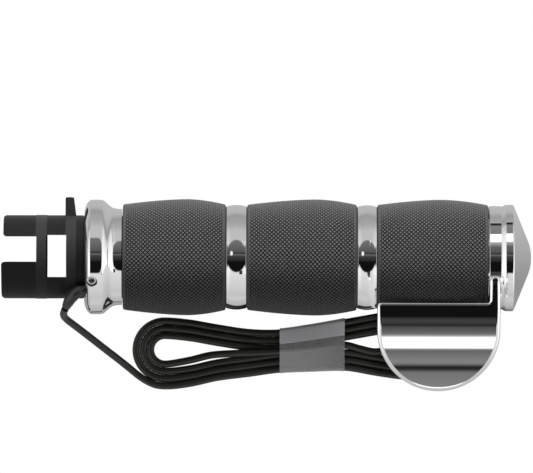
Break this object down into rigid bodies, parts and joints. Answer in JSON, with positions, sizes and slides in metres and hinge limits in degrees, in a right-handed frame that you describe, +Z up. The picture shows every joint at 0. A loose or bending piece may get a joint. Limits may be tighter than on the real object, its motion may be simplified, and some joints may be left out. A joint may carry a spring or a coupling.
{
  "type": "heated throttle grip",
  "caption": "Heated motorcycle throttle grip: nylon sleeve, knurled rubber sections between chrome rings, chrome collar and end cap, swivelling palm paddle and a tied heater lead.",
  "frame": {"origin": "on the grip axis, which is the handlebar's axis, at the inboard face of the chrome collar", "axes": "+X along the grip axis from the collar to the end cap, +Z up with the grip lying on its rubber bellies, +Y away from the palm paddle"},
  "size_m": [0.1799, 0.0657, 0.0395],
  "materials": {
    "black_nylon": "moulded satin black",
    "aluminium_core": "turned",
    "heater_film": "amber flexible film",
    "grip_rubber": "fine diamond knurl, matt",
    "chrome": "polished plate",
    "chrome_paddle": "polished plate",
    "screw_steel": "plain",
    "seal_rubber": "smooth",
    "boot_rubber": "glossy black",
    "cable_jacket": "glossy dark olive black",
    "clear_band": "translucent clear tie",
    "connector_plastic": "satin moulded",
    "contact_brass": "bright"
  },
  "bodies": {
    "grip": {"throttle_sleeve": "black_nylon", "grip_core": "aluminium_core", "heater_film": "heater_film", "rubber_inboard": "grip_rubber", "rubber_middle": "grip_rubber", "rubber_outboard": "grip_rubber", "ring_inboard": "chrome", "ring_outboard": "chrome", "inboard_collar": "chrome", "collar_set_screw_1": "screw_steel", "collar_set_screw_2": "screw_steel", "end_cap": "chrome", "cap_oring_1": "seal_rubber", "cap_oring_2": "seal_rubber", "lead_boot": "boot_rubber", "heater_wire_1": "cable_jacket", "heater_wire_2": "cable_jacket", "heater_lead": "cable_jacket", "lead_hank": "cable_jacket", "hank_band": "clear_band", "connector_seal": "seal_rubber", "connector_housing": "connector_plastic", "connector_contact_1": "contact_brass", "connector_contact_2": "contact_brass"},
    "boss": {"throttle_boss": "chrome_paddle"}
  },
  "joints": [
    {"name": "boss_swivel", "type": "hinge", "parent": "grip", "child": "boss", "pos_m": [0.1393, 0, 0], "axis": [1, 0, 0], "range_deg": [-170, 16]}
  ]
}
